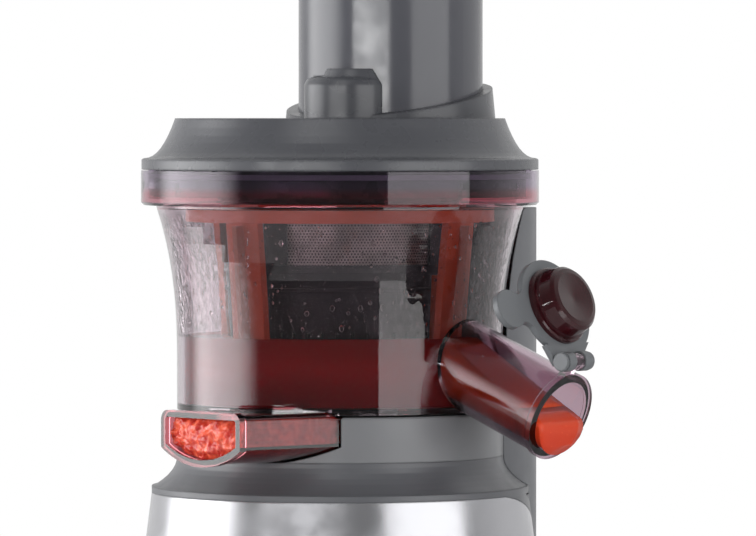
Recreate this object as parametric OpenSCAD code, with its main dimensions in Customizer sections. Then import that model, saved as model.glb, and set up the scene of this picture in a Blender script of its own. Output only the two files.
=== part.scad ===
// Cold press juicer: a motor base with a rear column carries a juicing bowl
// with a slow auger, a strainer and a spinning brush. A bayonet lid with a wide
// feed tube closes the bowl. Origin on the auger axis at the counter, +Z up,
// front towards -Y, juice spout towards +X. Millimetres.

/* [Base] */
// Radius of the base where it would meet the counter
base_r = 83; // [79:0.5:90]
// Radius of the base at its top edge
base_top_r = 72; // [68:0.5:75]
// Height of the top edge of the front shell
base_h = 151.1; // [147:0.1:165]
// Depth below the counter at which the curved side would be upright
base_lead = 14; // [5:1:30]
// Wall of the front and rear shells
shell_t = 2.5; // [2:0.1:3.5]
// Radius of the arc that rounds the rear corners of the front shell
corner_r = 100; // [85:1:120]
// Width of the trim band that follows that arc
trim_w = 5; // [3:0.5:8]
// Height of the ring foot
foot_h = 5; // [3:0.5:8]
// Middle radius of the ring foot
foot_r = 66; // [58:1:72]
// Width of the ring foot
foot_w = 9; // [5:0.5:14]
// Thickness of the bottom plate
plate_t = 3; // [2:0.1:5]

/* [Shoulder and seat] */
// Height of the rounded lip at the top of the base
lip_h = 2.5; // [1.5:0.1:4]
// Height of the shoulder above the front shell, lip included
shoulder_h = 14.2; // [12:0.1:22]
// Height of the light ring that the bowl stands on
seat_h = 17; // [15:0.5:24]
// Width of the top face of that ring
seat_w = 6; // [4:0.5:9]
// Thickness of the deck inside the shoulder
deck_t = 3; // [2:0.1:4]

/* [Column] */
// Radius of the rear column
column_r = 49; // [47:0.5:52]
// How far the column stands out behind the foot of the base
column_proud = 9; // [5:0.5:12]
// Gap between the column and the bowl
column_gap = 1.2; // [0.6:0.1:2]
// Gap between the column's top and the bowl collar
column_drop = 1.5; // [1:0.1:4]

/* [Bowl] */
// Outer radius of the bowl at its foot
bowl_r = 62.3; // [61:0.1:64]
// Height from the bowl's foot to the underside of its collar
bowl_h = 78.5; // [74:0.5:86]
// Height from the bowl's foot to where its wall starts to flare
bowl_straight = 18; // [12:1:30]
// How far the wall flares out at the top
bowl_flare = 7.8; // [5:0.1:8.5]
// Wall of the bowl
bowl_t = 2.6; // [2:0.1:3.2]
// Thickness of the bowl floor
floor_t = 3; // [2.4:0.1:4]
// Outer radius of the collar
collar_r = 76; // [75:0.1:78]
// Height of the collar
collar_h = 13.2; // [12.5:0.1:16]

/* [Juice spout] */
// Outer diameter of the spout
spout_d = 33; // [30:0.5:35]
// Wall of the spout
spout_t = 2.5; // [2:0.1:3.2]
// Distance of the middle of the mouth from the auger axis
mouth_x = 105.5; // [98:0.5:115]
// Height of the middle of the mouth above the bowl's foot
mouth_up = 0.6; // [-1:0.1:3]
// Slope of the spout
spout_tilt = 22.5; // [20:0.5:25]
// Thickness by which the rim of the mouth stands proud
rim_t = 0.8; // [0.4:0.1:1.5]

/* [Spout cap] */
// Distance from the spout's axis to the hinge pin
hinge_rise = 22.7; // [22:0.1:25]
// How far the cap is swung open at rest, in degrees
cap_open = 225; // [200:1:228]
// Diameter of the plug that goes into the spout
plug_d = 27.2; // [24:0.1:27.4]
// Depth of the plug
plug_h = 7.5; // [5:0.5:10]
// Thickness of the plug's flange
flange_t = 2.2; // [1.6:0.1:3]
// Radius of the lever's round plate
lever_r = 18.6; // [17.5:0.1:20]
// Thickness of the lever plate
lever_t = 2.4; // [2:0.1:3]
// Length of the thumb tab beyond the round plate
tab_l = 16; // [14:0.5:20]
// Radius of the hinge pin
cap_pin_r = 1.5; // [1.2:0.1:1.8]
// Overall length of the two lever knuckles and the lug between them
hinge_l = 14; // [12:0.5:18]
// Sideways distance of the hinge's middle from the spout's axis
hinge_side = -3.3; // [-5:0.1:0]

/* [Pulp chute] */
// Turn of the chute from straight ahead towards the left, in degrees
chute_turn = 12; // [0:1:15]
// Sideways distance of the chute's middle from the auger axis
chute_off = 25; // [24.5:0.1:27]
// Outer width of the chute
chute_w = 46; // [44:0.1:49]
// Distance of the mouth from the auger axis, along the chute
chute_reach = 87; // [78:1:96]
// Height of the chute's top above the bowl's foot, at the mouth
chute_top = 2.1; // [1:0.1:4]
// Outer height of the chute at its middle
chute_h = 19; // [17:0.1:19.2]
// Height of its upright side walls
chute_side = 12.8; // [10:0.1:14]
// Wall of the chute
chute_t = 1.8; // [1.5:0.1:3]
// Corner radius at the chute's upper edges
chute_corner = 3; // [1:0.5:5]

/* [Lid] */
// Height of the lid's rim band
band_h = 4; // [3:0.1:6]
// Height of the lid from its rim to the flat top
lid_h = 19.5; // [18:0.1:24]
// Radius of the lid's flat top
lid_top_r = 63; // [60:0.1:65]
// Wall of the lid
lid_t = 2.6; // [2.2:0.1:3.2]
// Number of bayonet lugs
lugs = 3; // [2:1:4]
// Outer diameter of the feed tube
tube_d = 71; // [68:0.5:73]
// Wall of the feed tube
tube_t = 3; // [2.5:0.1:3.5]
// Distance of the feed tube behind the auger axis
tube_y = 31; // [30:0.5:33]
// Height of the feed tube above the lid, hopper mouth included
tube_h = 90; // [80:1:110]
// Height of the hopper mouth
hopper_h = 30; // [24:1:40]
// Outer radius of the hopper mouth
hopper_r = 48; // [42:0.5:52]
// Height of the bearing boss on the lid
boss_h = 15.7; // [14.5:0.1:18]
// Outer radius of that boss
boss_r = 16.3; // [15:0.1:18]

/* [Pusher] */
// Gap between the pusher and the feed tube
pusher_gap = 0.5; // [0.3:0.1:1]
// Gap between the bearing boss and the foot of the pusher
pusher_rise = 3.5; // [1:0.1:10]
// Height of the pusher's handle
handle_h = 38; // [30:1:45]

/* [Strainer, brush and auger] */
// Outer radius of the strainer at its top
strainer_top_r = 45; // [44:0.1:46]
// Outer radius of the strainer at its foot
strainer_foot_r = 41; // [40:0.1:42]
// Wall of the strainer
strainer_t = 2.4; // [2:0.1:2.8]
// Height of the strainer's metal screen band
screen_h = 20; // [14:0.5:26]
// Number of windows in the screen band
windows = 4; // [3:1:6]
// Outer radius of the brush cage at its top
brush_top_r = 59; // [57:0.1:60]
// Outer radius of the brush cage at its foot
brush_foot_r = 53; // [51:0.1:54]
// Number of brush bars
bars = 4; // [3:1:6]
// Radius of the auger's core at its foot
core_foot_r = 30; // [26:0.5:32]
// Radius of the auger's core at its top
core_top_r = 11; // [9:0.5:14]
// Radius of the auger's upper pin
auger_pin_r = 5; // [4:0.1:6]
// Turns of each auger flight
flight_turns = 1.35; // [1:0.05:1.6]

/* [Gears] */
// Module of the gearbox gears
box_module = 1; // [0.9:0.05:1]
// Module of the gears in the bowl
bowl_module = 1.25; // [1.2:0.05:1.3]
// Teeth of each pinion
pinion_n = 12; // [12:1:12]
// Teeth of each large gearbox gear
wheel_n = 60; // [60:12:60]
// Pressure angle of the teeth
pressure = 25; // [20:1:25]
// Backlash in each mesh
backlash = 0.3; // [0.2:0.05:0.4]
// Face width of the gearbox gears
face_w = 8; // [6:0.5:9]
// Width across the flats of the drive shaft
hex_af = 12; // [10:0.5:13]
// Radius of the motor body
motor_r = 36; // [32:0.5:38]
// Height of the motor body
motor_h = 72; // [60:1:74]

/* [Control knob] */
// Height of the knob above the counter
knob_z = 72; // [60:1:85]
// Radius of the knob
knob_r = 17; // [14:0.5:20]
// Depth of the knob
knob_d = 13; // [10:0.5:16]

/* [Hidden] */

gap = 0.3;              // clearance between pieces that move past each other
fit = 0.06;             // radial clearance of a running fit
eps = 0.01;             // overshoot of a cut through a face
$fn = 96;

column_y = base_r + column_proud - column_r;

// heights of the base
plate_z = foot_h;
shell_z = plate_z + plate_t;
lip_z = base_h + lip_h;
seat_z = base_h + shoulder_h;
bowl_z = seat_z + seat_h;
floor_z = bowl_z + floor_t;
collar_z = bowl_z + bowl_h;
rim_z = collar_z + collar_h;
column_top = collar_z - column_drop;
deck_top = seat_z - 1.3;
lid_z = rim_z + gap;
lid_top = lid_z + lid_h;

// outer radius of the base at height z
function base_out(z) = base_r - (base_r - base_top_r)
  * pow((z + base_lead) / (base_h + base_lead), 2);
// outer radius of the bowl at height z
flare_z = bowl_z + bowl_straight;
function bowl_out(z) = bowl_r
  + bowl_flare * pow(max(0, (z - flare_z) / (collar_z - 1 - flare_z)), 2.5);
// concave shoulder between the lip and the seat ring
shoulder_r = base_top_r - 1;
function shoulder_out(u) = bowl_r + (shoulder_r - bowl_r) * pow(1 - u, 2.2);

skin_steps = 8;
flare_steps = 9;
shoulder_steps = 6;

function base_points(z0, z1, inset) = [for (i = [0:skin_steps])
  let (z = z0 + (z1 - z0) * i / skin_steps) [base_out(z) - inset, z]];
function bowl_points(z1, out) = [for (i = [0:flare_steps])
  let (z = flare_z + (z1 - flare_z) * i / flare_steps) [bowl_out(z) + out, z]];
function shoulder_points(out) = [for (i = [0:shoulder_steps])
  let (u = i / shoulder_steps)
  [shoulder_out(u) + out, lip_z + (seat_z - lip_z) * u]];
function reversed(list) = [for (i = [len(list) - 1:-1:0]) list[i]];

module turned(points) rotate_extrude() polygon(points);

// solid inside the base's outer side, shrunk by an inset
module base_skin(z0, z1, inset) {
  turned(concat([[0, z0]], base_points(z0, z1, inset), [[0, z1]]));
}

// solid of the bowl's outside, grown by out, from its foot to height z1
module bowl_outside(z1, out) {
  turned(concat([[0, bowl_z - out], [bowl_r + out, bowl_z - out]],
    bowl_points(z1, out), [[0, z1]]));
}

module column_solid(z0, z1, inset) {
  translate([0, column_y, z0]) cylinder(r = column_r - inset, h = z1 - z0);
}

// everything below the arc that rounds the rear corners, seen from the side
module below_arc(radius) {
  reach = 2 * base_r;
  rotate([90, 0, 90]) linear_extrude(2 * reach, center = true) {
    translate([-reach, -reach]) square([reach, 2 * reach]);
    translate([-reach, -reach])
      square([reach + radius, reach + base_h - corner_r + arc_lift]);
    translate([0, base_h - corner_r + arc_lift]) circle(r = radius);
  }
}
arc_lift = 0.6;

module at_screws() {
  for (side = [-1, 1]) {
    rotate([0, 0, 270 + side * screw_turn]) translate([front_boss_x, 0, 0]) children();
    translate([0, column_y, 0]) rotate([0, 0, 90 + side * screw_turn])
      translate([rear_boss_x, 0, 0]) children();
  }
}
screw_turn = 35;
boss_post_r = 4.5;
screw_r = 1.75;
screw_head_r = 3.4;
screw_l = 14;
boss_l = 20;
boss_lift = 0.4;
front_boss_x = base_out(shell_z + boss_l) - shell_t - 2.5;
rear_boss_x = column_r - shell_t - 2.5;

module front_housing() color([0.9, 0.9, 0.91]) {
  difference() {
    union() {
      difference() {
        intersection() {
          base_skin(shell_z, base_h, 0);
          below_arc(corner_r);
        }
        base_skin(shell_z - eps, base_h + eps, shell_t);
        column_solid(shell_z - 1, base_h + 1, 0);
      }
      for (side = [-1, 1]) rotate([0, 0, 270 + side * screw_turn])
        translate([front_boss_x, 0, shell_z + boss_lift])
          cylinder(r = boss_post_r, h = boss_l - boss_lift);
    }
    at_screws() translate([0, 0, shell_z - 1])
      cylinder(r = screw_r, h = screw_l - 1, $fn = 24);
    translate([0, 0, knob_z]) rotate([90, 0, 0])
      cylinder(r = knob_shaft_r + gap, h = 2 * base_r, $fn = 32);
  }
}

// tall rear shell, with shoulders beside the round front body
module rear_housing() color([0.42, 0.42, 0.44]) {
  difference() {
    union() {
      column_solid(shell_z, column_top, 0);
      difference() {
        base_skin(base_h - corner_r, lip_z, 0);
        below_arc(corner_r + trim_w);
        translate([-2 * base_r, -4 * base_r, 0]) cube([4 * base_r, 4 * base_r, 2 * base_r]);
      }
    }
    // room for the motor and the gears
    base_skin(shell_z - eps, base_h + eps, shell_t);
    // the shoulder, the seat ring and the bowl stand in front
    turned(concat([[0, base_h - 1], [base_top_r + fit, base_h - 1],
      [base_top_r + fit, lip_z]], shoulder_points(fit),
      [[bowl_r + fit, bowl_z - 1], [bowl_r + column_gap, bowl_z]],
      bowl_points(collar_z, column_gap),
      [[0, collar_z]]));
    // hollow of the column, closed at its top and towards the bowl
    difference() {
      column_solid(shell_z - eps, column_top - shell_t, shell_t);
      turned(concat([[0, base_h], [base_top_r + shell_t, base_h],
        [base_top_r + shell_t, lip_z + shell_t],
        [bowl_r + column_gap + shell_t, seat_z]],
        bowl_points(collar_z, column_gap + shell_t),
        [[0, collar_z]]));
    }
    // way for the inlet gland
    translate([0, column_y, gland_z]) rotate([-90, 0, 0])
      cylinder(r = gland_r, h = column_r + 1, $fn = 48);
  }
  for (side = [-1, 1]) translate([0, column_y, shell_z])
    rotate([0, 0, 90 + side * screw_turn]) translate([rear_boss_x, 0, 0])
      difference() {
        cylinder(r = boss_post_r - 2 * fit, h = boss_l);
        translate([0, 0, -eps]) cylinder(r = screw_r, h = screw_l - 2, $fn = 24);
      }
}

// dark band round the top of the base, with the deck that carries the drive
post_r = 5;
post_side = 37;
post_reach = 24;
hub_r = 13;
hub_h = 14;
shaft_hole_r = hex_af * 0.577 + 0.9;
function post_spots() = [for (x = [-1, 1]) for (y = [-1, 1])
  [x * post_side, gear_gap / 2 + y * post_reach]];

module top_shoulder() color([0.36, 0.36, 0.38]) {
  turned(concat([[base_out(base_h) - shell_t - deck_t, base_h - 4],
    [base_out(base_h) - shell_t - fit, base_h - 4],
    [base_out(base_h) - shell_t - fit, base_h], [base_top_r, base_h],
    [base_top_r, lip_z]], shoulder_points(0),
    [[bowl_r - seat_w, seat_z], [bowl_r - seat_w, deck_top],
    [shaft_hole_r, deck_top], [shaft_hole_r, deck_top - deck_t],
    [bowl_r - seat_w - deck_t, deck_top - deck_t]]));
  // trim band that sweeps down along the front shell's rear corners
  difference() {
    intersection() {
      base_skin(base_h - corner_r, lip_z, 0);
      below_arc(corner_r + trim_w - fit);
    }
    base_skin(base_h - corner_r - eps, lip_z + eps, shell_t);
    below_arc(corner_r + fit);
    column_solid(shell_z, collar_z, -fit);
    translate([-2 * base_r, -4 * base_r, 0]) cube([4 * base_r, 4 * base_r, 2 * base_r]);
    translate([0, 0, base_h]) cylinder(r = base_r, h = shoulder_h);
  }
  // raised hub that keeps spilt juice off the drive shaft
  difference() {
    translate([0, 0, deck_top]) cylinder(r1 = hub_r, r2 = hub_r - 2, h = hub_h);
    translate([0, 0, deck_top - 1]) cylinder(r = shaft_hole_r, h = hub_h + 2);
  }
  // posts down to the gearbox
  for (p = post_spots()) translate([p[0], p[1], cover_top])
    difference() {
      cylinder(r = post_r, h = deck_top - 1 - cover_top);
      translate([0, 0, -eps]) cylinder(r = screw_r, h = screw_l, $fn = 24);
    }
}

// light ring that the bowl stands on, open towards the chute
module bowl_seat() color([0.56, 0.56, 0.58]) {
  difference() {
    turned([[bowl_r - seat_w, seat_z], [bowl_r - seat_w, bowl_z],
      [bowl_r - 0.6, bowl_z], [bowl_r, bowl_z - 0.6], [bowl_r, seat_z]]);
    at_chute() translate([chute_off / 2, 0, 0]) rotate([90, 0, 90])
      linear_extrude(bowl_r + 10) offset_section(0.6, bowl_z + 1);
  }
}

module bottom_plate() color([0.2, 0.2, 0.21]) {
  difference() {
    union() {
      translate([0, 0, plate_z]) cylinder(r = base_out(shell_z), h = plate_t);
      column_solid(plate_z, shell_z, 0);
    }
    // cooling slots below the fan
    for (i = [0:vents - 1]) rotate([0, 0, i * 360 / vents])
      translate([vent_r, -vent_w / 2, plate_z - 1]) cube([vent_l, vent_w, plate_t + 2]);
    at_screws() translate([0, 0, plate_z - 1])
      cylinder(r = screw_r + 0.25, h = plate_t + 2, $fn = 24);
    at_screws() translate([0, 0, plate_z - 1])
      cylinder(r = screw_head_r + 0.4, h = 1 + plate_t / 2, $fn = 32);
  }
}
vents = 18;
vent_r = 14;
vent_l = 22;
vent_w = 3;

module ring_foot() color([0.12, 0.12, 0.12]) {
  ring(foot_r + foot_w / 2, foot_r - foot_w / 2, foot_h);
}

module base_screws() color([0.7, 0.7, 0.72]) {
  at_screws() {
    translate([0, 0, plate_z + plate_t / 2]) {
      translate([0, 0, -1.2]) cylinder(r = screw_head_r, h = 1.2, $fn = 32);
      cylinder(r = screw_r - 0.01, h = screw_l - plate_t, $fn = 24);
    }
  }
}

// inlet for the mains lead, low at the back
gland_z = 30;
gland_r = 7;
module cord_gland() color([0.1, 0.1, 0.1]) {
  back = column_y + column_r;
  translate([0, back, gland_z]) rotate([-90, 0, 0]) difference() {
    union() {
      translate([0, 0, -shell_t - 3]) cylinder(r = gland_r - 0.02, h = shell_t + 3.5, $fn = 48);
      translate([0, 0, 0.2]) cylinder(r = gland_r + 2.5, h = 2, $fn = 48);
      translate([0, 0, -shell_t - 5]) cylinder(r = gland_r - 2, h = 2.5, $fn = 48);
    }
    translate([0, 0, -shell_t - 6]) cylinder(r = 3.6, h = shell_t + 9, $fn = 32);
  }
}

board_w = 40;
board_h = 50;
board_t = 1.6;
board_room = 20;
board_lift = 6;
board_y = column_y + column_r - board_room;
board_post_r = 2;
relay = [16, 9, 12];
terminal = [9, 5, 14];
capacitor_r = 3.5;
capacitor_h = 10;
module control_board() color([0.1, 0.35, 0.2]) {
  translate([-board_w / 2, board_y, gland_z + gland_r + board_lift]) {
    cube([board_w, board_t, board_h]);
    for (x = [4, board_w - 4]) for (z = [5, board_h - 5])
      translate([x, board_t, z]) rotate([-90, 0, 0])
        cylinder(r = board_post_r, h = board_post_l, $fn = 24);
    translate([8, -relay[1], 8]) cube(relay);
    translate([10, -terminal[1], board_h / 2 + 3]) cube(terminal);
    for (i = [0:2]) translate([board_w * 0.7, 0, 12 + i * 11]) rotate([90, 0, 0])
      cylinder(r = capacitor_r, h = capacitor_h, $fn = 24);
  }
}
// the posts end where their outer sides meet the column's curved back wall
board_post_x = board_w / 2 - 4 + board_post_r;
board_post_l = column_y + sqrt(pow(column_r - shell_t, 2) - pow(board_post_x, 2))
  - board_y - board_t - fit;

switch_w = 24;
switch_top_r = base_out(knob_z + switch_w / 2) - shell_t - 0.15;
switch_y = -sqrt(pow(switch_top_r, 2) - pow(switch_w / 2, 2));
module switch_body() color([0.15, 0.15, 0.16]) {
  difference() {
    union() {
      translate([-switch_w / 2, switch_y, knob_z - switch_w / 2])
        cube([switch_w, 12, switch_w]);
      for (x = [-4, 4]) translate([x - 1, switch_y + 12, knob_z - 3]) cube([2, 6, 6]);
    }
    translate([0, switch_y - 1, knob_z]) rotate([-90, 0, 0])
      cylinder(r = knob_shaft_r + fit, h = 9, $fn = 32);
  }
}

knob_shaft_r = 3;
module control_knob() color([0.36, 0.36, 0.38]) {
  face_y = -base_out(knob_z - knob_r) - gap;
  translate([0, face_y, knob_z]) rotate([90, 0, 0]) {
    cylinder(r = knob_r, h = knob_d * 0.35);
    translate([0, 0, knob_d * 0.35]) cylinder(r1 = knob_r - 1, r2 = knob_r - 3, h = knob_d * 0.4);
    translate([-2.5, 3 - knob_r, 0]) cube([5, 2 * knob_r - 6, knob_d]);
  }
  translate([0, face_y - 1, knob_z]) rotate([-90, 0, 0])
    cylinder(r = knob_shaft_r, h = switch_y + 7 - face_y, $fn = 32);
}

// lid sensor against the column's top
module interlock_switch() color([0.15, 0.15, 0.16]) {
  w = 16;
  translate([-w / 2, column_y + column_r - shell_t - 11, column_top - shell_t - 12]) {
    cube([w, 8, 12]);
    translate([w / 2 - 1.5, 3, -6]) cube([3, 2, 6]);
  }
}

// ---- motor and gearbox ----
motor_z = 22;
gear_gap = box_module * (pinion_n + wheel_n) / 2;
box_z = motor_z + motor_h;
box_floor = box_z + 3;
lay_z = box_floor + 1;
out_z = lay_z + face_w + 2;
cover_z = out_z + face_w + 2;
cover_top = cover_z + 3;
lay_r = 4;
motor_shaft_r = 4;
out_r = 5;
bearing_r = 9;
bearing_h = 6;
bush_r = 6.5;
box_in_r = box_module * wheel_n / 2 + 2.2;
box_t = 2.5;
ear_r = 6;
bearing_boss_h = 20;

function inv(a) = tan(a) * 180 / PI - a;
// half angle of a tooth at radius q, for a gear of pitch radius p
function half_tooth(q, p, n, slack) = 90 / n - slack / (4 * p) * 180 / PI
  + inv(pressure) - inv(acos(min(1, p * cos(pressure) / q)));
flank_steps = 3;
// outline of an involute gear, with one tooth on +X turned by phase
function gear_points(m, n, slack, head, foot, phase) =
  let (p = m * n / 2, base = p * cos(pressure), tip = p + head * m,
    root = p - foot * m, low = max(base, root))
  [for (i = [0:n - 1]) for (s = [-1, 1])
    let (rim = [for (k = [0:flank_steps]) let (q = low + (tip - low) * k / flank_steps)
      [q, half_tooth(q, p, n, slack)]],
      flank = root < low - eps ? concat([[root, rim[0][1]]], rim) : rim)
    for (k = [0:len(flank) - 1])
      let (f = flank[s < 0 ? k : len(flank) - 1 - k], a = phase + i * 360 / n + s * f[1])
      f[0] * [cos(a), sin(a)]];

module gear(m, n, h, phase) {
  linear_extrude(h) polygon(gear_points(m, n, backlash, 1, 1.2, phase));
}

module motor() color([0.25, 0.25, 0.27]) {
  difference() {
    union() {
      translate([0, 0, motor_z]) cylinder(r = motor_r - 2, h = motor_h);
      for (z = [motor_z, motor_z + motor_h - 12])
        translate([0, 0, z]) cylinder(r = motor_r, h = 12);
      translate([0, 0, motor_z + 22]) cylinder(r = motor_r + 1, h = motor_h - 44);
    }
    translate([0, 0, motor_z - 1]) cylinder(r = motor_shaft_r + fit, h = motor_h + 2);
    at_motor_screws() translate([0, 0, box_z - 10]) cylinder(r = screw_r, h = 11, $fn = 24);
    // openings in the end bells
    for (i = [0:5]) rotate([0, 0, 15 + i * 60]) translate([22, -5, motor_z - 1])
      cube([9, 10, 7]);
  }
}

module at_motor_screws() {
  for (i = [0:3]) rotate([0, 0, 45 + i * 90]) translate([20, 0, 0]) children();
}

module motor_screws() color([0.7, 0.7, 0.72]) {
  at_motor_screws() {
    translate([0, 0, box_floor - 1.3]) cylinder(r = screw_head_r, h = 1.2, $fn = 32);
    translate([0, 0, box_z - 8]) cylinder(r = screw_r - 0.01, h = box_floor - box_z + 7, $fn = 24);
  }
}

fan_z = 12;
fan_h = 7;
fan_r = 30;
blades = 7;
module motor_shaft() color([0.72, 0.72, 0.74]) {
  translate([0, 0, fan_z - 1]) cylinder(r = motor_shaft_r, h = lay_z - fan_z + 1);
  translate([0, 0, lay_z - 0.5]) gear(box_module, pinion_n, face_w + 1, 0);
}

module motor_fan() color([0.2, 0.2, 0.2]) {
  difference() {
    union() {
      translate([0, 0, fan_z]) cylinder(r = 8, h = fan_h);
      translate([0, 0, fan_z + fan_h - 1.5]) cylinder(r = fan_r, h = 1.5);
      for (i = [0:blades - 1]) rotate([0, 0, i * 360 / blades])
        translate([6, -0.8, fan_z]) cube([fan_r - 8, 1.6, fan_h - 1]);
    }
    translate([0, 0, fan_z - 1]) cylinder(r = motor_shaft_r, h = fan_h + 2);
  }
}

// plan of the gearbox, round both gear centres
module box_plan(r) {
  circle(r = r);
  translate([0, gear_gap]) circle(r = r);
  translate([-r, 0]) square([2 * r, gear_gap]);
}

module ears(z, h) {
  for (p = post_spots()) translate([p[0], p[1], z]) cylinder(r = ear_r, h = h);
}

module ear_holes(z, h) {
  for (p = post_spots()) translate([p[0], p[1], z]) cylinder(r = screw_r, h = h, $fn = 24);
}

module gearbox_housing() color([0.5, 0.5, 0.52]) {
  difference() {
    union() {
      translate([0, 0, box_z]) linear_extrude(cover_z - box_z) box_plan(box_in_r + box_t);
      ears(box_z, cover_z - box_z);
    }
    translate([0, 0, box_floor]) linear_extrude(cover_z) box_plan(box_in_r);
    translate([0, 0, box_z - 1]) cylinder(r = 8, h = 5);
    translate([0, gear_gap, box_z - 1]) cylinder(r = bush_r, h = 5);
    ear_holes(box_z - 1, cover_z);
    for (p = post_spots()) translate([p[0], p[1], box_z - 1])
      cylinder(r = screw_head_r + 0.1, h = 2.4, $fn = 32);
    at_motor_screws() translate([0, 0, box_z - 1]) cylinder(r = screw_r + 0.1, h = 5, $fn = 24);
    at_motor_screws() translate([0, 0, box_floor - 1.35])
      cylinder(r = screw_head_r + 0.1, h = 2, $fn = 32);
  }
}

module gearbox_cover() color([0.55, 0.55, 0.57]) {
  difference() {
    union() {
      translate([0, 0, cover_z]) linear_extrude(cover_top - cover_z)
        box_plan(box_in_r + box_t);
      ears(cover_z, cover_top - cover_z);
      translate([0, 0, cover_top - eps])
        cylinder(r = bearing_r + 3, h = bearing_boss_h + eps);
      for (i = [0:3]) rotate([0, 0, 45 + i * 90])
        translate([bearing_r, -1.2, cover_top - eps]) cube([9, 2.4, 12]);
    }
    translate([0, 0, cover_z - 1]) cylinder(r = bearing_r, h = bearing_h + 1);
    translate([0, 0, cover_z]) cylinder(r = out_r + 1, h = 40);
    translate([0, 0, cover_top + bearing_boss_h - bearing_h])
      cylinder(r = bearing_r, h = bearing_h + 1);
    translate([0, gear_gap, cover_z - 1]) cylinder(r = bush_r, h = 5);
    ear_holes(cover_z - 1, 5);
  }
}

module gearbox_screws() color([0.7, 0.7, 0.72]) {
  for (p = post_spots()) translate([p[0], p[1], box_z + 0.1]) {
    cylinder(r = screw_head_r, h = 1.2, $fn = 32);
    cylinder(r = screw_r - 0.01, h = cover_top - box_z + 9, $fn = 24);
  }
}

module ring(r_out, r_in, h) {
  difference() {
    cylinder(r = r_out, h = h);
    translate([0, 0, -1]) cylinder(r = r_in, h = h + 2);
  }
}

module output_bearings() color([0.75, 0.75, 0.77]) {
  for (z = [cover_z, cover_top + bearing_boss_h - bearing_h])
    translate([0, 0, z]) ring(bearing_r, out_r + fit, bearing_h);
}

module layshaft_bushes() color([0.72, 0.55, 0.3]) {
  for (z = [box_z + 0.1, cover_z])
    translate([0, gear_gap, z]) ring(bush_r, lay_r + fit, 3);
}

module layshaft() color([0.72, 0.72, 0.74]) {
  translate([0, gear_gap, box_z + 0.4]) cylinder(r = lay_r, h = cover_top - box_z - 0.4);
  translate([0, gear_gap, lay_z + face_w])
    gear(box_module, pinion_n, face_w + 3, 180 / pinion_n);
}

module lay_gear() color([0.85, 0.83, 0.75]) {
  translate([0, gear_gap, lay_z]) difference() {
    gear(box_module, wheel_n, face_w, 180 / wheel_n);
    translate([0, 0, -1]) cylinder(r = lay_r, h = face_w + 2);
    translate([0, 0, face_w - 2]) ring(box_in_r - 7, 9, 3);
  }
}

module output_gear() color([0.85, 0.83, 0.75]) {
  translate([0, 0, out_z]) difference() {
    gear(box_module, wheel_n, face_w, 0);
    translate([0, 0, -1]) cylinder(r = out_r, h = face_w + 2);
    translate([0, 0, face_w - 2]) ring(box_in_r - 7, 10, 3);
  }
}

hex_z = cover_top + bearing_boss_h + 1;
hex_top = bowl_z + floor_t + 18;
module output_shaft() color([0.75, 0.75, 0.77]) {
  translate([0, 0, out_z]) cylinder(r = out_r, h = hex_z - out_z);
  translate([0, 0, hex_z]) hex_prism(hex_af, hex_top - hex_z - 1.5);
  translate([0, 0, hex_top - 1.5 - eps]) hex_prism(hex_af - 2, 1.5);
}

module hex_prism(across, h) cylinder(d = across / cos(30), h = h, $fn = 6);

// ---- bowl ----
lug_w = 26;             // width of a bayonet lug in degrees
lug_h = 2.4;
lug_d = 1.8;
collar_in = collar_r - bowl_t;
lug_z = collar_z + 6.4;

module bowl() color([0.3, 0.2, 0.26, 0.6]) {
  difference() {
    turned(concat([[seal_r, bowl_z], [bowl_r - 0.8, bowl_z], [bowl_r, bowl_z + 0.8]],
      bowl_points(collar_z - 1, 0),
      [[bowl_out(collar_z - 1), collar_z], [collar_r - 1, collar_z], [collar_r, collar_z + 1],
      [collar_r, rim_z], [collar_in, rim_z], [collar_in, collar_z + bowl_t],
      [bowl_out(collar_z - 1) - bowl_t, collar_z + bowl_t]],
      reversed(bowl_points(collar_z - 1, -bowl_t)),
      [[bowl_r - bowl_t, floor_z], [seal_r, floor_z]]));
    spout_frame() translate([0, 0, -spout_l]) cylinder(r = spout_in, h = spout_l);
    pulp_port();
    idler_spot() translate([0, 0, bowl_z - 1]) cylinder(r = idler_pin_r, h = floor_t + 2, $fn = 32);
  }
  // bayonet lugs inside the collar
  bayonet(collar_in, lug_d, lug_z, lug_w, 0);
}

// ring sectors that stand inwards from radius r
module bayonet(r, depth, z, width, turn) {
  for (i = [0:lugs - 1]) rotate([0, 0, turn + i * 360 / lugs - width / 2])
    rotate_extrude(angle = width)
      translate([r - depth, z]) square([depth + eps, lug_h]);
}

// spout frame: origin at the middle of the mouth, +Z outwards, -X upwards
spout_l = 60;
spout_in = spout_d / 2 - spout_t;
module spout_frame() {
  translate([mouth_x, 0, bowl_z + mouth_up]) rotate([0, 90 + spout_tilt, 0]) children();
}

module juice_spout() color([0.35, 0.18, 0.24, 0.6]) {
  difference() {
    union() {
      difference() {
        spout_frame() {
          translate([0, 0, -spout_l]) cylinder(r = spout_d / 2, h = spout_l);
          translate([0, 0, -2.4]) cylinder(r = spout_d / 2 + rim_t, h = 2.4);
        }
        bowl_outside(collar_z, 0);
      }
      // hinge lug that stands on the end of the spout
      spout_frame() translate([-hinge_rise, hinge_side, 0]) {
        rotate([90, 0, 0]) cylinder(r = lug_r, h = lug_len, center = true, $fn = 48);
        translate([0, -lug_len / 2, -lug_r]) cube([hinge_rise - spout_in - 1, lug_len, lug_r]);
      }
    }
    spout_frame() {
      translate([0, 0, -spout_l - 1]) cylinder(r = spout_in, h = spout_l + 2);
      translate([-hinge_rise, hinge_side, 0]) rotate([90, 0, 0])
        cylinder(r = cap_pin_r + fit, h = lug_len + 2, center = true, $fn = 48);
    }
  }
}
knuckle_l = 4.2;
knuckle_r = 3.7;
lug_r = 3.2;
lug_len = hinge_l - 2 * knuckle_l - 2 * gap;

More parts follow.
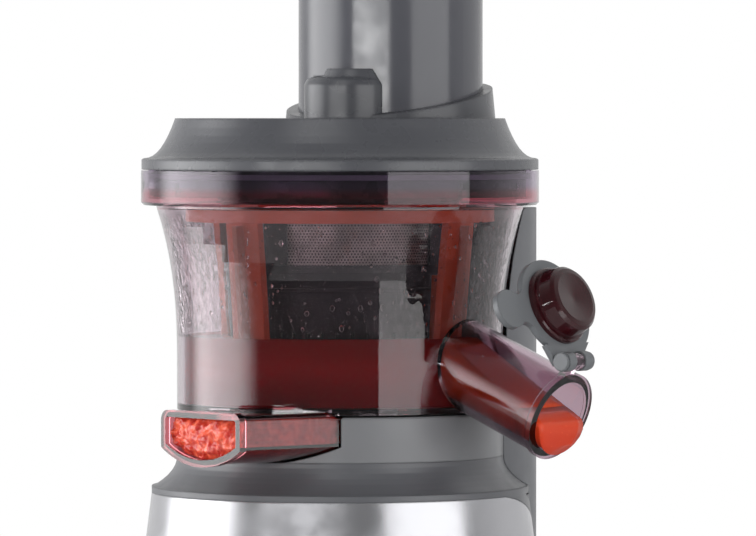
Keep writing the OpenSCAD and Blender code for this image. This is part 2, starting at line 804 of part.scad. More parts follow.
// chute frame: +X outwards along the chute, origin on the auger axis
module at_chute() rotate([0, 0, 270 - chute_turn]) children();
chute_z = bowl_z + chute_top;
chute_in_end = -6;

// upright sides, rounded upper corners and a curved underside
module chute_section(inset) {
  w = chute_w - 2 * inset;
  top = chute_z - inset;
  low = chute_z - chute_h + inset;
  sag = chute_h - chute_side;
  arc_r = (pow(chute_w / 2, 2) + sag * sag) / (2 * sag);
  c = max(0.6, chute_corner - inset);
  translate([chute_off, 0]) intersection() {
    union() {
      translate([-w / 2, low]) square([w, top - low - c]);
      translate([-w / 2 + c, low]) square([w - 2 * c, top - low]);
      for (s = [-1, 1]) translate([s * (w / 2 - c), top - c]) circle(r = c, $fn = 32);
    }
    translate([0, chute_z - chute_h + arc_r]) circle(r = arc_r - inset);
  }
}

// the chute's outline grown by a gap and open upwards, to cut a way for it
module offset_section(grow, top) {
  w = chute_w + 2 * grow;
  low = chute_z - chute_h - grow;
  sag = chute_h - chute_side;
  arc_r = (pow(chute_w / 2, 2) + sag * sag) / (2 * sag);
  translate([chute_off, 0]) intersection() {
    translate([-w / 2, low]) square([w, top - low]);
    translate([0, chute_z - chute_h + arc_r]) {
      circle(r = arc_r + grow);
      translate([-w, 0]) square([2 * w, top]);
    }
  }
}

module chute_bar(x0, x1, inset) {
  translate([x0, 0, 0]) rotate([90, 0, 90]) linear_extrude(x1 - x0) chute_section(inset);
}

module pulp_chute() color([0.35, 0.2, 0.26, 0.6]) {
  difference() {
    at_chute() {
      chute_bar(chute_in_end, chute_reach, 0);
      chute_bar(chute_reach - 3, chute_reach, -0.8);
    }
    bowl_outside(collar_z, 0);
    translate([0, 0, deck_top - 1]) cylinder(r = hub_r + 0.6, h = 40);
    difference() {
      at_chute() chute_bar(chute_in_end + chute_t, chute_reach + 1, chute_t);
      translate([0, 0, deck_top - 1]) cylinder(r = hub_r + 0.6 + chute_t, h = 40);
    }
    pulp_port();
  }
}

// slot through the strainer's foot and the bowl floor into the chute
port_r = 22;
port_half = 3.4;
port_span = 50;
port_az = -34;
module pulp_port() {
  rotate([0, 0, port_az - port_span / 2]) rotate_extrude(angle = port_span)
    translate([port_r - port_half, bowl_z - chute_t - 1]) square([2 * port_half, 40]);
}

seal_r = 9.5;
module shaft_seal() color([0.8, 0.8, 0.8]) {
  translate([0, 0, bowl_z]) ring(seal_r, shaft_hole_r, floor_t);
}

// ---- gears in the bowl floor ----
sun_n = 2 * pinion_n;
ring_n = 4 * pinion_n;
idler_gap = bowl_module * (sun_n + pinion_n) / 2;
idler_az = 135;
idler_pin_r = 2;
bowl_gear_z = floor_z + gap;
bowl_face = 8;
module idler_spot() rotate([0, 0, idler_az]) translate([idler_gap, 0, 0]) children();

module idler_pin() color([0.75, 0.75, 0.77]) {
  idler_spot() translate([0, 0, bowl_z + 0.3])
    cylinder(r = idler_pin_r, h = floor_t + bowl_face, $fn = 32);
}

module idler_gear() color([0.9, 0.9, 0.88]) {
  rotate([0, 0, idler_az]) translate([idler_gap, 0, bowl_gear_z])
    rotate([0, 0, -idler_az]) difference() {
      gear(bowl_module, pinion_n, bowl_face, idler_az + 180 + 180 / pinion_n);
      translate([0, 0, -1]) cylinder(r = idler_pin_r + fit, h = bowl_face + 2, $fn = 32);
    }
}

module auger_gear() color([0.85, 0.85, 0.83]) {
  translate([0, 0, bowl_gear_z]) difference() {
    gear(bowl_module, sun_n, bowl_face, 0);
    translate([0, 0, -1]) cylinder(r = socket_r, h = bowl_face + 2);
  }
}

// ---- strainer ----
strainer_z = bowl_gear_z + bowl_face + 0.6;
strainer_top = collar_z + 1.2;
screen_z = collar_z - 2 - screen_h;
foot_plate_t = 3;
skirt_in = bowl_module * (sun_n / 2 + 1) + 1;
skirt_out = bowl_module * (ring_n / 2 - 1) - 2.2;
function strainer_out(z) = strainer_foot_r + (strainer_top_r - strainer_foot_r)
  * (z - strainer_z) / (strainer_top - strainer_z);

module strainer_frame() color([0.1, 0.1, 0.11]) {
  difference() {
    union() {
      turned([[skirt_in, strainer_z], [strainer_foot_r, strainer_z],
        [strainer_top_r, strainer_top], [strainer_top_r - strainer_t, strainer_top],
        [strainer_out(strainer_z + foot_plate_t) - strainer_t, strainer_z + foot_plate_t],
        [skirt_in, strainer_z + foot_plate_t]]);
      translate([0, 0, floor_z]) ring(skirt_out, skirt_in, strainer_z - floor_z + 1);
      // stout rings above and below the windows
      for (z = [screen_z - 3, screen_z + screen_h]) translate([0, 0, z])
        ring(strainer_out(z) + 0.8, strainer_out(z) - strainer_t + 0.4, 3);
      // thin ledge between the slots and the windows
      translate([0, 0, screen_z - ledge_drop])
        ring(strainer_out(screen_z - ledge_drop) + 0.8, strainer_foot_r, ledge_h);
    }
    // windows of the screen band
    for (i = [0:windows - 1]) rotate([0, 0, window_az + i * 360 / windows - window_a / 2])
      rotate_extrude(angle = window_a)
        translate([strainer_foot_r - strainer_t - 4, screen_z]) square([20, screen_h]);
    // juice slots in the black band
    for (i = [0:slots - 1]) rotate([0, 0, i * 360 / slots])
      translate([strainer_foot_r - 6, -slot_w / 2, strainer_z + slot_rise])
        cube([14, slot_w, slot_h]);
    idler_spot() translate([0, 0, floor_z - 1])
      cylinder(r = bowl_module * (pinion_n / 2 + 1) + 0.8, h = strainer_z - floor_z + 1);
    pulp_port();
    // groove that the screen sits in
    turned(screen_points(0));
  }
}
window_a = 77;
window_az = 50.5;
ledge_drop = 10.3;
ledge_h = 1.5;
slots = 48;
slot_w = 1.2;
slot_h = 2.6;
slot_rise = 16.3;
screen_in = 1;
screen_t = 0.5;

screen_lap = 1;
function screen_points(slack) =
  let (z0 = screen_z - screen_lap + slack, z1 = screen_z + screen_h + screen_lap - slack,
    r0 = strainer_out(z0) - screen_in, r1 = strainer_out(z1) - screen_in)
  [[r0 - screen_t + slack, z0], [r0 - slack, z0], [r1 - slack, z1], [r1 - screen_t + slack, z1]];

module strainer_screen() color([0.7, 0.7, 0.72]) turned(screen_points(0.03));

// ---- brush ----
brush_z = bowl_gear_z;
brush_foot_t = 2.6;
brush_top = collar_z - 1;
brush_ring_h = 5;
bar_t = 3;
bar_w = 15;
gear_rim = bowl_module * ring_n / 2 + 5;
function brush_out(z) = brush_foot_r + (brush_top_r - brush_foot_r)
  * pow((z - brush_z) / (brush_top - brush_z), 1.6);
function bar_points(grow) = [for (i = [0:4])
  let (z = brush_z + (brush_top - brush_z) * i / 4) [brush_out(z) + grow, z]];

// turned shell between two offsets of the brush profile, cut to upright bars
module bar_shell(inner, outer, width) {
  for (i = [0:bars - 1]) rotate([0, 0, bar_az + i * 360 / bars]) intersection() {
    turned(concat(bar_points(outer), reversed(bar_points(inner))));
    translate([0, -width / 2, brush_z]) cube([2 * brush_top_r, width, brush_top - brush_z]);
  }
}
bar_az = 0;

module brush_frame() color([0.75, 0.2, 0.1]) {
  difference() {
    translate([0, 0, brush_z]) cylinder(r = gear_rim, h = bowl_face);
    translate([0, 0, brush_z - 1]) linear_extrude(bowl_face + 2)
      polygon(gear_points(bowl_module, ring_n, -backlash, 1.2, 1, 180 / ring_n));
  }
  difference() {
    translate([0, 0, brush_z]) ring(brush_foot_r, gear_rim - 1, brush_foot_t);
    for (i = [0:11]) rotate([0, 0, bar_az + 15 + i * 30])
      translate([gear_rim + 6, 0, brush_z - 1]) cylinder(r = 4, h = 5, $fn = 32);
  }
  bar_shell(-bar_t, 0, bar_w);
  translate([0, 0, brush_top - brush_ring_h])
    ring(brush_top_r, brush_top_r - bar_t - 1.5, brush_ring_h);
}

// soft wipers that sweep the strainer and the bowl wall
module brush_wipers() color([0.85, 0.3, 0.15]) {
  for (i = [0:bars - 1]) rotate([0, 0, bar_az + i * 360 / bars]) {
    intersection() {
      turned(concat(bar_points(wiper_out), reversed(bar_points(0))));
      translate([0, -wiper_t / 2, brush_z + 5])
        cube([2 * brush_top_r, wiper_t, brush_top - brush_z - brush_ring_h - 6]);
    }
    intersection() {
      turned(concat(bar_points(-bar_t),
        [[strainer_top_r + 1.4, brush_top], [strainer_foot_r + 1.4, brush_z]]));
      translate([0, -wiper_t / 2, strainer_z + 4])
        cube([2 * brush_top_r, wiper_t, screen_z - strainer_z - 8]);
    }
  }
}
wiper_t = 2;
wiper_out = 4;

// ---- auger ----
socket_r = 10;
socket_top = hex_top + 2;
hub_top = strainer_z + foot_plate_t + 0.6;
flight_foot_r = strainer_foot_r - strainer_t - 0.8;
flight_top_r = strainer_top_r - strainer_t - 1.4;
flight_h = strainer_top - hub_top + 12;
auger_top = lid_top - 12;
pin_top = lid_top + boss_h - 4;

module auger_screw() color([0.12, 0.12, 0.13]) {
  difference() {
    union() {
      turned([[0, bowl_gear_z + bowl_face], [skirt_in - 1.4, bowl_gear_z + bowl_face],
        [skirt_in - 1.4, hub_top], [core_foot_r, hub_top + 1.5],
        [core_foot_r - 2, hub_top + 8], [core_top_r + 3, auger_top - 14],
        [core_top_r, auger_top - 4], [core_top_r - 2, auger_top], [0, auger_top]]);
      translate([0, 0, hub_top]) linear_extrude(flight_h, twist = -360 * flight_turns,
          scale = flight_top_r / flight_foot_r, slices = 36, $fn = 12)
        for (a = [0, 180]) rotate([0, 0, a])
          polygon([[6, -4], [flight_foot_r, -7], [flight_foot_r, 7], [6, 4]]);
      cylinder(r = auger_pin_r, h = pin_top);
    }
    cylinder(r = socket_r, h = socket_top);
    translate([0, 0, -1]) cylinder(r = socket_r + 20, h = bowl_gear_z + bowl_face + 1);
  }
}

module auger_socket() color([0.75, 0.75, 0.77]) {
  difference() {
    translate([0, 0, bowl_gear_z]) cylinder(r = socket_r, h = socket_top - bowl_gear_z);
    translate([0, 0, bowl_gear_z - 1]) hex_prism(hex_af + 2 * gap, hex_top - bowl_gear_z + 1.5);
  }
}

// ---- lid ----
lid_foot = strainer_top + gap;
funnel_r = strainer_top_r - strainer_t + 0.5;
funnel_top_r = lid_top_r - 3;
skirt_r = collar_in - lug_d - 0.6;
skirt_z = collar_z + bowl_t + 0.6;
band_r = collar_r - 0.2;
flare_in = 0.9;
lid_steps = 8;
bush_out_r = auger_pin_r + 3;
post_in_r = bush_out_r + 3;
function lid_flare() = [for (i = [0:lid_steps])
  let (u = pow(i / lid_steps, 2))
  [lid_top_r + (band_r - flare_in - lid_top_r) * (1 - pow(u, 0.45)),
    lid_z + band_h + 0.3 + (lid_h - band_h - 0.3) * u]];

module at_tube() translate([0, tube_y, 0]) children();

module lid_cover() color([0.44, 0.44, 0.46]) {
  difference() {
    lid_solid();
    translate([0, 0, lid_top - 10]) cylinder(r = bush_out_r, h = boss_h + 8);
  }
}

module lid_solid() {
  difference() {
    union() {
      turned(concat([[0, lid_foot], [skirt_r, lid_foot], [skirt_r, lid_z], [band_r, lid_z],
        [band_r, lid_z + band_h - 0.3], [band_r - 0.3, lid_z + band_h]],
        lid_flare(), [[0, lid_top]]));
      // mound that carries the feed tube, higher at the back
      difference() {
        at_tube() translate([0, 0, lid_z + band_h])
          cylinder(r1 = tube_d / 2 + 2 * mound_w, r2 = tube_d / 2 + mound_w, h = lid_h + mound_h);
        translate([0, tube_y - tube_d / 2 - mound_w, lid_top + 0.5]) rotate([mound_tilt, 0, 0])
          translate([-base_r, -base_r / 2, 0]) cube([2 * base_r, 3 * base_r, lid_h + 2 * mound_h]);
      }
    }
    // funnel below the feed tube
    turned([[0, lid_foot - 1], [funnel_r, lid_foot - 1], [funnel_r, lid_foot],
      [funnel_top_r, lid_top - lid_t], [0, lid_top - lid_t]]);
    // hollow between the funnel and the skirt
    turned([[funnel_r + lid_t, lid_foot - 1], [skirt_r + 1, lid_foot - 1],
      [skirt_r + 1, skirt_z], [skirt_r - lid_t, skirt_z], [skirt_r - lid_t, lid_z + 2.5],
      [skirt_r - 5, lid_z + 6.5], [funnel_top_r + 1.5, lid_top - 7.5]]);
    at_tube() translate([0, 0, lid_top - lid_t - 1]) cylinder(r = tube_d / 2 - tube_t, h = tube_h);
    at_tube() translate([0, 0, lid_top]) cylinder(r = tube_d / 2, h = tube_h);
    seal_groove();
  }
  bayonet(skirt_r + lug_d, lug_d + 0.4, lug_z - gap - lug_h, lug_w, 0);
  // boss over the auger's pin
  difference() {
    translate([boss_side, 0, 0]) {
      turned([[0, lid_top - 1], [boss_r, lid_top - 1], [boss_r, lid_top + boss_h - 3],
        [boss_r - 1, lid_top + boss_h - 1], [boss_r - 3, lid_top + boss_h],
        [0, lid_top + boss_h]]);
      translate([2.5, 1.9, lid_top + boss_h - 1])
        cylinder(r1 = boss_r - 3.5, r2 = boss_r - 5.5, h = tier_h + 1);
    }
    at_tube() cylinder(r = tube_d / 2, h = tube_top);
  }
  translate([0, 0, lid_top - 9]) cylinder(r = post_in_r, h = boss_h + 9);
}
boss_side = 3.3;
tier_h = 3.2;
mound_w = 3.2;
mound_h = 14;
mound_tilt = 10;

module seal_groove() {
  translate([0, 0, seal_z]) ring(skirt_r + 1, skirt_r - 1.2, 2);
}
seal_z = rim_z - 3.2;

module lid_seal() color([0.2, 0.2, 0.2]) {
  translate([0, 0, seal_z]) ring(collar_in - gap, skirt_r - 1.2, 2);
}

module lid_bushing() color([0.85, 0.85, 0.83]) {
  translate([0, 0, lid_top - 9]) ring(bush_out_r, auger_pin_r + fit, boss_h + 7);
}

tube_top = lid_top + tube_h;
module feed_tube() color([0.44, 0.44, 0.46]) {
  r = tube_d / 2;
  straight = tube_top - hopper_h;
  difference() {
    at_tube() turned([[r - tube_t, lid_top], [r, lid_top], [r, straight],
      [r + 3, straight + hopper_h * 0.45], [hopper_r - 1.5, tube_top - 2.5],
      [hopper_r, tube_top - 2], [hopper_r, tube_top], [hopper_r - tube_t, tube_top],
      [r + 3 - tube_t, straight + hopper_h * 0.5], [r - tube_t, straight + 2]]);
    cylinder(r = post_in_r + fit, h = lid_top + boss_h + 0.2);
  }
}

module pusher() color([0.75, 0.75, 0.77]) {
  r = tube_d / 2 - tube_t - pusher_gap;
  foot = lid_top + boss_h + pusher_rise;
  rest = tube_top + gap;
  at_tube() turned([[0, foot], [r - 2, foot], [r, foot + 2], [r, rest], [hopper_r + 1, rest],
    [hopper_r + 1, rest + 2.5], [hopper_r, rest + 3.5], [r - 1, rest + 4],
    [r - 3, rest + 8], [r - 2, rest + handle_h - 2], [r - 3.5, rest + handle_h],
    [r - 5.5, rest + handle_h - 1], [r - 5.5, foot + 3], [0, foot + 3]]);
}

// ---- spout cap, drawn closed in the spout frame, then swung open ----
module swung() {
  spout_frame() translate([-hinge_rise, 0, 0]) rotate([0, -cap_open, 0])
    translate([hinge_rise, 0, 0]) children();
}
lever_z = gap + flange_t;

// thumb tab: a round lobe joined to the lever plate by hollow fillets
lobe_r = 7.5;
fillet_r = 5;
lobe_y = -lever_r - tab_l + lobe_r;
fillet_y = (pow(lobe_y, 2) + pow(lever_r + fillet_r, 2) - pow(lobe_r + fillet_r, 2))
  / (2 * lobe_y);
fillet_x = sqrt(pow(lever_r + fillet_r, 2) - pow(fillet_y, 2));

module cap_lever() color([0.5, 0.5, 0.52]) {
  swung() difference() {
    union() {
      translate([0, 0, lever_z]) linear_extrude(lever_t) {
        circle(r = lever_r);
        translate([0, lobe_y]) circle(r = lobe_r, $fn = 48);
        difference() {
          polygon([[0, 0], [fillet_x, fillet_y], [0, lobe_y], [-fillet_x, fillet_y]]);
          for (s = [-1, 1]) translate([s * fillet_x, fillet_y])
            circle(r = fillet_r + 0.2, $fn = 48);
        }
        polygon([[-hinge_rise, hinge_side - hinge_l / 2], [-lever_r + 4, -13],
          [-lever_r + 4, 13], [-hinge_rise, hinge_side + hinge_l / 2]]);
      }
      for (s = [-1, 1]) translate([-hinge_rise, hinge_side + s * (hinge_l - knuckle_l) / 2, 0])
        rotate([90, 0, 0]) cylinder(r = knuckle_r, h = knuckle_l, center = true, $fn = 48);
    }
    translate([-hinge_rise, hinge_side, 0]) {
      translate([-8, -lug_len / 2 - gap, -8]) cube([12, lug_len + 2 * gap, 20]);
      rotate([90, 0, 0]) cylinder(r = cap_pin_r, h = hinge_l + 2, center = true, $fn = 48);
      // room for the heads of the pin
      for (s = [-1, 1]) translate([0, s * (hinge_l / 2 + pin_head), 0]) rotate([90, 0, 0])
        cylinder(r = knuckle_r + gap, h = 2 * pin_head, center = true, $fn = 48);
    }
  }
}
pin_head = 1.3;

module cap_plug() color([0.3, 0.08, 0.1, 0.8]) {
  swung() translate([0, 0, -plug_h]) turned([[0, 1.5], [plug_d / 2 - 4, 0],
    [plug_d / 2 - 2.2, 0.4], [plug_d / 2 - 1, 1.6], [plug_d / 2, plug_h - 1.5],
    [plug_d / 2, plug_h + gap], [flange_r - 0.6, plug_h + gap], [flange_r, plug_h + gap + 0.6],
    [flange_r, plug_h + lever_z], [0, plug_h + lever_z]]);
}
flange_r = spout_in + 0.9;

module cap_pin() color([0.6, 0.6, 0.63]) {
  swung() translate([-hinge_rise, hinge_side, 0]) rotate([90, 0, 0]) {
    cylinder(r = cap_pin_r, h = hinge_l + 2 * pin_head, center = true, $fn = 48);
    for (s = [-1, 1]) translate([0, 0, s * (hinge_l + pin_head) / 2])
      cylinder(r = knuckle_r - 0.3, h = pin_head, center = true, $fn = 48);
  }
}

front_housing();
rear_housing();
top_shoulder();
bowl_seat();
bottom_plate();
ring_foot();
base_screws();
cord_gland();
control_board();
switch_body();
interlock_switch();
control_knob();
motor();
motor_screws();
motor_shaft();
motor_fan();
gearbox_housing();
gearbox_cover();
gearbox_screws();
output_bearings();
layshaft_bushes();
layshaft();
lay_gear();
output_gear();
output_shaft();
bowl();
juice_spout();
pulp_chute();
shaft_seal();
idler_pin();
idler_gear();
strainer_frame();
strainer_screen();
brush_frame();
brush_wipers();
auger_screw();
auger_gear();
auger_socket();
lid_cover();
feed_tube();
lid_seal();
lid_bushing();
pusher();
cap_lever();
cap_plug();
cap_pin();
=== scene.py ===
"""Looks of a cold press juicer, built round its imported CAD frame.

Lengths are in metres, except where a name or a docstring says mm.
"""

import math
import random

import bpy
import bmesh
from mathutils import Matrix, Vector, noise


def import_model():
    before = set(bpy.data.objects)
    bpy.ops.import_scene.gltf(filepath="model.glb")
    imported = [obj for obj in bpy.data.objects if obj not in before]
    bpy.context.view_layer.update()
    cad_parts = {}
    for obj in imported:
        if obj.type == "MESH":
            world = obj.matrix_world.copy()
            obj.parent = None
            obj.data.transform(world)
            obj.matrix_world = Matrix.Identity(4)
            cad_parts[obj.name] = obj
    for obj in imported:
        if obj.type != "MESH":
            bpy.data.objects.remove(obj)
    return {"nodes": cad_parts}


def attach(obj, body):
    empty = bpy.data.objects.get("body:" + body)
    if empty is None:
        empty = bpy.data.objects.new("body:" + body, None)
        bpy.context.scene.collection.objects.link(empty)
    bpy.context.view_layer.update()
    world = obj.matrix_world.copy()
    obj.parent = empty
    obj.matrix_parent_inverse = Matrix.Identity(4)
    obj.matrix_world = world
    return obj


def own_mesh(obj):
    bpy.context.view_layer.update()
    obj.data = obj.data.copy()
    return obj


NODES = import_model()["nodes"]
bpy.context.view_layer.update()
MM = 0.001

# ---------------------------------------------------------------- camera
CAM_AZIMUTH = math.radians(39)
CAM_DISTANCE = 2.4
CAM_HEIGHT = 0.297
PHOTO_W = 756
FOCAL_PX = 6283
SENSOR_MM = 36
AIM_RIGHT = 0.0145  # the picture's centre lies this far right of the auger's axis
AIM_HEIGHT = 0.2366
right = Vector((math.cos(CAM_AZIMUTH), math.sin(CAM_AZIMUTH), 0))
towards = Vector((math.sin(CAM_AZIMUTH), -math.cos(CAM_AZIMUTH), 0))

scene = bpy.context.scene
scene.view_settings.view_transform = "Standard"
cam_data = bpy.data.cameras.new("camera")
cam_data.sensor_fit = "HORIZONTAL"
cam_data.sensor_width = SENSOR_MM
cam_data.lens = FOCAL_PX * SENSOR_MM / PHOTO_W
cam_data.clip_start = 0.1
cam_data.clip_end = 30
camera = bpy.data.objects.new("camera", cam_data)
scene.collection.objects.link(camera)
camera.location = towards * CAM_DISTANCE + Vector((0, 0, CAM_HEIGHT))
aim = right * AIM_RIGHT + Vector((0, 0, AIM_HEIGHT))
camera.rotation_euler = (aim - camera.location).to_track_quat("-Z", "Y").to_euler()
scene.camera = camera


# ---------------------------------------------------------------- materials
class Graph:
    """A material's node tree, with short calls for what every finish needs."""

    def __init__(self, name):
        self.mat = bpy.data.materials.new(name)
        self.mat.use_nodes = True
        self.tree = self.mat.node_tree
        self.bsdf = self.tree.nodes["Principled BSDF"]
        self.coord = self.add("ShaderNodeTexCoord").outputs["Object"]

    def add(self, kind, **settings):
        node = self.tree.nodes.new(kind)
        for key, value in settings.items():
            setattr(node, key, value)
        return node

    def link(self, source, target):
        self.tree.links.new(source, target)

    def put(self, target, value):
        if hasattr(value, "is_output"):
            self.link(value, target)
        else:
            target.default_value = value

    def math(self, op, a, b=0.0):
        node = self.add("ShaderNodeMath", operation=op)
        self.put(node.inputs[0], a)
        self.put(node.inputs[1], b)
        return node.outputs[0]

    def ramp(self, value, low, high, to_low=0.0, to_high=1.0, smooth=True):
        """The value taken from one range to another, and held at its ends."""
        node = self.add("ShaderNodeMapRange")
        node.interpolation_type = "SMOOTHSTEP" if smooth else "LINEAR"
        self.put(node.inputs["Value"], value)
        for key, number in (("From Min", low), ("From Max", high),
                            ("To Min", to_low), ("To Max", to_high)):
            node.inputs[key].default_value = number
        return node.outputs["Result"]

    def scaled(self, factors):
        """The object's coordinates, each multiplied by its own factor."""
        node = self.add("ShaderNodeVectorMath", operation="MULTIPLY")
        self.link(self.coord, node.inputs[0])
        node.inputs[1].default_value = factors
        return node.outputs[0]

    def noise(self, scale, detail=3.0, stretch=(1, 1, 1), distortion=0.0):
        node = self.add("ShaderNodeTexNoise")
        node.inputs["Scale"].default_value = scale
        node.inputs["Detail"].default_value = detail
        node.inputs["Distortion"].default_value = distortion
        self.link(self.scaled(stretch), node.inputs["Vector"])
        return node.outputs["Fac"]

    def cells(self, scale):
        node = self.add("ShaderNodeTexVoronoi", feature="F1")
        node.inputs["Scale"].default_value = scale
        self.link(self.coord, node.inputs["Vector"])
        return node.outputs["Distance"]

    def mix(self, factor, a, b):
        node = self.add("ShaderNodeMix", data_type="RGBA")
        self.put(node.inputs["Factor"], factor)
        for socket, value in ((node.inputs[6], a), (node.inputs[7], b)):
            self.put(socket, value if hasattr(value, "is_output") else (*value, 1.0))
        return node.outputs[2]

    def axis(self, name):
        node = self.add("ShaderNodeSeparateXYZ")
        self.link(self.coord, node.inputs[0])
        return node.outputs[name]

    def tone(self, rgb, vary, scale=30, detail=4.0):
        """The colour, a little lighter and darker from place to place."""
        field = self.ramp(self.noise(scale, detail), 0.3, 0.7)
        return self.mix(field, [c * (1 - vary) for c in rgb],
                        [min(1.0, c * (1 + vary)) for c in rgb])

    def bump(self, height, strength, distance, normal=None):
        node = self.add("ShaderNodeBump")
        node.inputs["Strength"].default_value = strength
        node.inputs["Distance"].default_value = distance
        self.link(height, node.inputs["Height"])
        if normal is not None:
            self.link(normal, node.inputs["Normal"])
        return node.outputs["Normal"]

    def rounded(self, radius):
        """A normal that rounds the edges of moulded and machined parts."""
        node = self.add("ShaderNodeBevel", samples=4)
        node.inputs["Radius"].default_value = radius
        return node.outputs["Normal"]

    def set(self, **values):
        """Put values or links on the shader's sockets, named with _ for a space."""
        for key, value in values.items():
            self.put(self.bsdf.inputs[key.replace("_", " ")], value)
        return self


GRAIN_DEPTH = 0.00006
BRUSH_DEPTH = 0.00003
METAL_EDGE = 0.0003
PLASTIC_IOR = 1.49
JUICE_IOR = 1.34


def moulded(name, rgb, rough, vary, grain, grain_scale, edge):
    """Satin moulded plastic: faint clouding, fine grain and rounded edges."""
    g = Graph(name)
    grained = g.bump(g.noise(grain_scale, 2.0), grain, GRAIN_DEPTH, g.rounded(edge))
    return g.set(Base_Color=g.tone(rgb, vary), Normal=grained,
                 Roughness=g.ramp(g.noise(90), 0.25, 0.75, rough - 0.04, rough + 0.05))


def metal(name, rgb, rough, brush=(1, 1, 1), scale=700, strength=0.25):
    """Machined or drawn metal, with fine marks along one direction."""
    g = Graph(name)
    marks = g.noise(scale, 3.0, brush)
    return g.set(Base_Color=g.tone(rgb, 0.08, 60), Metallic=1.0,
                 Roughness=g.ramp(marks, 0.3, 0.7, rough - 0.06, rough + 0.08),
                 Normal=g.bump(marks, strength, BRUSH_DEPTH, g.rounded(METAL_EDGE)))


def juice_film(g, low, high):
    """Where juice wets the inside of the wall, between two bands of height."""
    geometry = g.add("ShaderNodeNewGeometry")
    outward = g.add("ShaderNodeVectorMath", operation="DOT_PRODUCT")
    g.link(geometry.outputs["Normal"], outward.inputs[0])
    g.link(g.scaled((1, 1, 0)), outward.inputs[1])
    inner = g.math("LESS_THAN", outward.outputs["Value"], 0.0)
    height = g.axis("Z")
    band = g.math("MULTIPLY", g.ramp(height, *low), g.ramp(height, *high, 1.0, 0.0))
    patches = g.ramp(g.noise(38, 4.0, (1, 1, 0.5)), 0.34, 0.52)
    return g.math("MULTIPLY", g.math("MULTIPLY", inner, band), patches)


def smoky(name, tint, rough, above=(), wet=None):
    """Smoky transparent plastic.

    above lists other tints with the heights they blend in over, and wet has
    the two bands of height between which a film of juice starts and ends.
    """
    g = Graph(name)
    colour = g.tone(tint, 0.02, 25)
    for (low, high), shade in above:
        colour = g.mix(g.ramp(g.axis("Z"), low, high), colour, shade)
    g.set(Base_Color=colour, Transmission_Weight=1.0, IOR=PLASTIC_IOR)
    if wet is None:
        return g.set(Roughness=g.ramp(g.noise(120), 0.3, 0.7, rough * 0.7, rough * 1.3),
                     Normal=g.bump(g.noise(45, 2.0), 0.05, 0.0003))
    film = juice_film(g, *wet)
    streaks = g.noise(620, 2.5, (1, 1, 0.55), 0.4)
    drops = g.math("MULTIPLY", g.ramp(streaks, 0.42, 0.66), film)
    return g.set(Roughness=g.math("ADD", g.math("MULTIPLY", film, 0.08), rough),
                 Normal=g.bump(drops, 1.0, 0.0009),
                 Transmission_Weight=g.ramp(drops, 0.0, 1.0, 1.0, 0.72, False))


# key: name, colour, roughness, clouding, grain, grain scale, edge radius
MOULDED = {
    "silver": ("silver_paint", (0.46, 0.46, 0.48), 0.21, 0.01, 0.012, 5200, 0.0008),
    "shell": ("grey_shell", (0.135, 0.138, 0.148), 0.40, 0.03, 0.16, 1700, 0.0010),
    "shoulder": ("grey_shoulder", (0.105, 0.107, 0.116), 0.36, 0.03, 0.12, 1700, 0.0010),
    "lid": ("lid_grey", (0.080, 0.082, 0.091), 0.27, 0.03, 0.08, 1500, 0.0012),
    "tube": ("tube_grey", (0.092, 0.093, 0.106), 0.17, 0.03, 0.06, 1500, 0.0012),
    "seat": ("light_grey", (0.185, 0.187, 0.195), 0.36, 0.03, 0.10, 1700, 0.0008),
    "lever": ("lever_grey", (0.140, 0.147, 0.155), 0.38, 0.03, 0.12, 1700, 0.0009),
    "pusher": ("pusher_grey", (0.235, 0.238, 0.250), 0.34, 0.03, 0.10, 1700, 0.0012),
    "black": ("black_plastic", (0.018, 0.016, 0.021), 0.34, 0.15, 0.2, 1300, 0.0003),
    "auger": ("auger_black", (0.022, 0.020, 0.026), 0.30, 0.15, 0.2, 900, 0.0008),
    "dark": ("dark_plastic", (0.030, 0.030, 0.032), 0.45, 0.08, 0.2, 1500, 0.0005),
    "rubber": ("foot_rubber", (0.022, 0.022, 0.022), 0.75, 0.1, 0.3, 1200, 0.0006),
    "brush": ("brush_red", (0.95, 0.140, 0.045), 0.30, 0.05, 0.1, 1100, 0.0004),
    "wiper": ("wiper_silicone", (0.70, 0.150, 0.070), 0.45, 0.05, 0.1, 1100, 0.0003),
    "seal": ("seal_silicone", (0.42, 0.42, 0.43), 0.5, 0.05, 0.1, 1100, 0.0004),
    "acetal": ("gear_acetal", (0.72, 0.70, 0.64), 0.33, 0.03, 0.1, 1400, 0.0003),
    "board": ("board_green", (0.012, 0.120, 0.045), 0.4, 0.15, 0.2, 900, 0.0003),
    "enamel": ("motor_enamel", (0.045, 0.046, 0.050), 0.32, 0.1, 0.15, 900, 0.0006),
}
MATS = {key: moulded(*row) for key, row in MOULDED.items()}
MATS["silver"].set(Metallic=0.8)
MATS["steel"] = metal("machined_steel", (0.56, 0.56, 0.58), 0.26, (1, 1, 6))
MATS["alloy"] = metal("cast_alloy", (0.50, 0.51, 0.53), 0.42, (1, 1, 1), 1100, 0.5)
MATS["bronze"] = metal("bush_bronze", (0.60, 0.40, 0.17), 0.36, (1, 1, 1), 1200, 0.4)
COLLAR_TINTS = (((0.2595, 0.2615), (0.50, 0.17, 0.22)), ((0.2650, 0.2685), (0.38, 0.31, 0.41)))
MATS["bowl"] = smoky("bowl_clear", (0.66, 0.57, 0.62), 0.02, COLLAR_TINTS,
                     wet=((0.2105, 0.214), (0.250, 0.258)))
MATS["spout"] = smoky("spout_clear", (0.52, 0.38, 0.45), 0.07)
MATS["chute"] = smoky("chute_clear", (0.60, 0.19, 0.22), 0.05)


SCREEN_RADIUS = 0.0435
HOLE_PITCH = 0.00125
ROW_STEP = 0.866  # rows of a staggered pattern, in pitches
HOLE_EDGE = (0.24, 0.31)  # the hole ends and the sheet starts, in pitches


